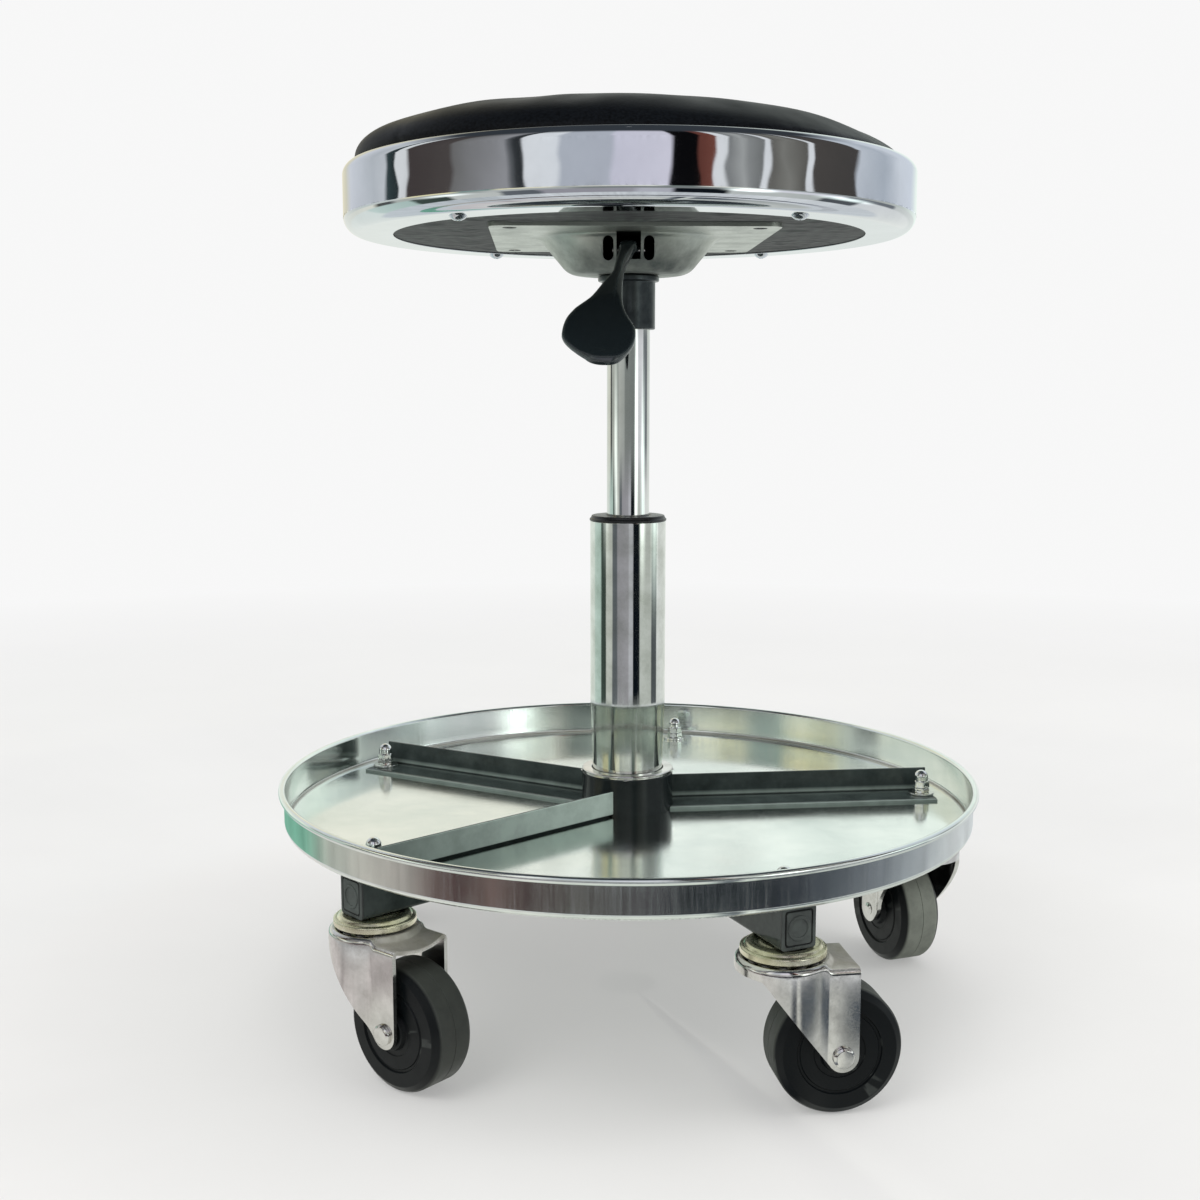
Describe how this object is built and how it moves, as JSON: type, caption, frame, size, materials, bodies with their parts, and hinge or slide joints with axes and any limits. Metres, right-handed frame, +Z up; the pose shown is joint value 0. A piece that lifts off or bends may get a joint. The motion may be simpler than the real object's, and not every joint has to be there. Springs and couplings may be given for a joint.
{
  "type": "creeper seat",
  "caption": "Round padded workshop seat with a bright band, on a swivelling gas lift over a divided round tool tray on swivel casters.",
  "frame": {"origin": "on the floor, under the axis of the column, at the middle of the tray's outline", "axes": "+Z up; the lever points along -Y, which is the side the picture was taken from; +X is to the right in the picture"},
  "size_m": [0.4626, 0.4626, 0.571],
  "materials": {
    "vinyl": "fine-grained black vinyl, satin",
    "chrome": "mirror plated",
    "plywood": "raw",
    "cover_cloth": "thin non-woven cloth",
    "pan_steel": "satin grey",
    "gunmetal": "satin dark grey",
    "black_plastic": "satin moulded",
    "black_screws": "black oxide",
    "black_paint": "gloss black",
    "tray_steel": "bright zinc plated sheet",
    "zinc": "bright zinc",
    "yellow_zinc": "yellow passivated zinc",
    "ground_steel": "ground",
    "wheel_rubber": "hard black rubber",
    "soft_rubber": "matt"
  },
  "bodies": {
    "base": {"hub": "black_paint", "hub_ring": "zinc", "base_arms": "black_paint", "arm_end_plugs": "black_plastic", "tray": "tray_steel", "divider_right": "black_paint", "divider_rear_left": "black_paint", "divider_front_left": "black_paint", "caster_stem_bolts": "zinc", "stem_washers": "zinc", "stem_nuts": "zinc", "cap_nuts": "zinc", "caster_cups": "yellow_zinc", "swivel_balls": "ground_steel", "outer_tube": "chrome", "guide_bush": "black_plastic", "thrust_washer_lower": "ground_steel", "thrust_balls": "ground_steel"},
    "lift_rod": {"piston_rod": "ground_steel", "piston": "gunmetal", "thrust_washer_upper": "ground_steel", "rod_clip": "gunmetal", "rubber_buffer": "soft_rubber"},
    "seat": {"gas_cylinder": "chrome", "cylinder_gland": "gunmetal", "valve_body": "zinc", "taper_socket": "gunmetal", "seat_pan": "pan_steel", "pan_screws": "black_screws", "seat_board": "plywood", "seat_cushion": "vinyl", "chrome_band": "chrome", "band_screws": "chrome", "dust_cover": "cover_cloth", "lever_bracket": "gunmetal", "lever_pin": "zinc"},
    "lever": {"lever_arm": "gunmetal", "lever_handle": "black_plastic"},
    "valve": {"valve_pin": "zinc"},
    "caster_right": {"fork_right": "zinc", "axle_right": "zinc"},
    "rolling_right": {"wheel_right": "wheel_rubber", "wheel_bush_right": "ground_steel"},
    "caster_rear": {"fork_rear": "zinc", "axle_rear": "zinc"},
    "rolling_rear": {"wheel_rear": "wheel_rubber", "wheel_bush_rear": "ground_steel"},
    "caster_rear_left": {"fork_rear_left": "zinc", "axle_rear_left": "zinc"},
    "rolling_rear_left": {"wheel_rear_left": "wheel_rubber", "wheel_bush_rear_left": "ground_steel"},
    "caster_front_left": {"fork_front_left": "zinc", "axle_front_left": "zinc"},
    "rolling_front_left": {"wheel_front_left": "wheel_rubber", "wheel_bush_front_left": "ground_steel"},
    "caster_front_right": {"fork_front_right": "zinc", "axle_front_right": "zinc"},
    "rolling_front_right": {"wheel_front_right": "wheel_rubber", "wheel_bush_front_right": "ground_steel"}
  },
  "joints": [
    {"name": "seat_swivel", "type": "hinge", "parent": "base", "child": "lift_rod", "pos_m": [0, 0, 0.097], "axis": [0, 0, 1], "continuous": true},
    {"name": "seat_lift", "type": "slide", "parent": "lift_rod", "child": "seat", "axis": [0, 0, 1], "range_m": [-0.115, 0]},
    {"name": "lever_lift", "type": "hinge", "parent": "seat", "child": "lever", "pos_m": [0, -0.022, 0.4916], "axis": [-1, 0, 0], "range_deg": [0, 8], "stiffness_Nm_per_rad": 1.5},
    {"name": "valve_press", "type": "slide", "parent": "seat", "child": "valve", "axis": [0, 0, -1], "range_m": [0, 0.0032]},
    {"name": "caster_swivel_right", "type": "hinge", "parent": "base", "child": "caster_right", "pos_m": [0.20334, 0.02605, 0.0915], "axis": [0, 0, 1], "continuous": true},
    {"name": "wheel_spin_right", "type": "hinge", "parent": "caster_right", "child": "rolling_right", "pos_m": [0.19248, 0.05348, 0.0375], "axis": [-0.9298, -0.3681, 0], "continuous": true},
    {"name": "caster_swivel_rear", "type": "hinge", "parent": "base", "child": "caster_rear", "pos_m": [0.03806, 0.20144, 0.0915], "axis": [0, 0, 1], "continuous": true},
    {"name": "wheel_spin_rear", "type": "hinge", "parent": "caster_rear", "child": "rolling_rear", "pos_m": [0.02797, 0.17372, 0.0375], "axis": [0.9397, -0.342, 0], "continuous": true},
    {"name": "caster_swivel_rear_left", "type": "hinge", "parent": "base", "child": "caster_rear_left", "pos_m": [-0.17982, 0.09845, 0.0915], "axis": [0, 0, 1], "continuous": true},
    {"name": "wheel_spin_rear_left", "type": "hinge", "parent": "caster_rear_left", "child": "rolling_rear_left", "pos_m": [-0.18595, 0.1273, 0.0375], "axis": [-0.9781, -0.2079, 0], "continuous": true},
    {"name": "caster_swivel_front_left", "type": "hinge", "parent": "base", "child": "caster_front_left", "pos_m": [-0.14919, -0.14059, 0.0915], "axis": [0, 0, 1], "continuous": true},
    {"name": "wheel_spin_front_left", "type": "hinge", "parent": "caster_front_left", "child": "rolling_front_left", "pos_m": [-0.12627, -0.15916, 0.0375], "axis": [0.6293, 0.7771, 0], "continuous": true},
    {"name": "caster_swivel_front_right", "type": "hinge", "parent": "base", "child": "caster_front_right", "pos_m": [0.08761, -0.18534, 0.0915], "axis": [0, 0, 1], "continuous": true},
    {"name": "wheel_spin_front_right", "type": "hinge", "parent": "caster_front_right", "child": "rolling_front_right", "pos_m": [0.11666, -0.18021, 0.0375], "axis": [-0.1736, 0.9848, 0], "continuous": true}
  ],
  "couplings": [
    {"joint": "valve_press", "follows": "lever_lift", "m_per_rad": 0.022}
  ]
}
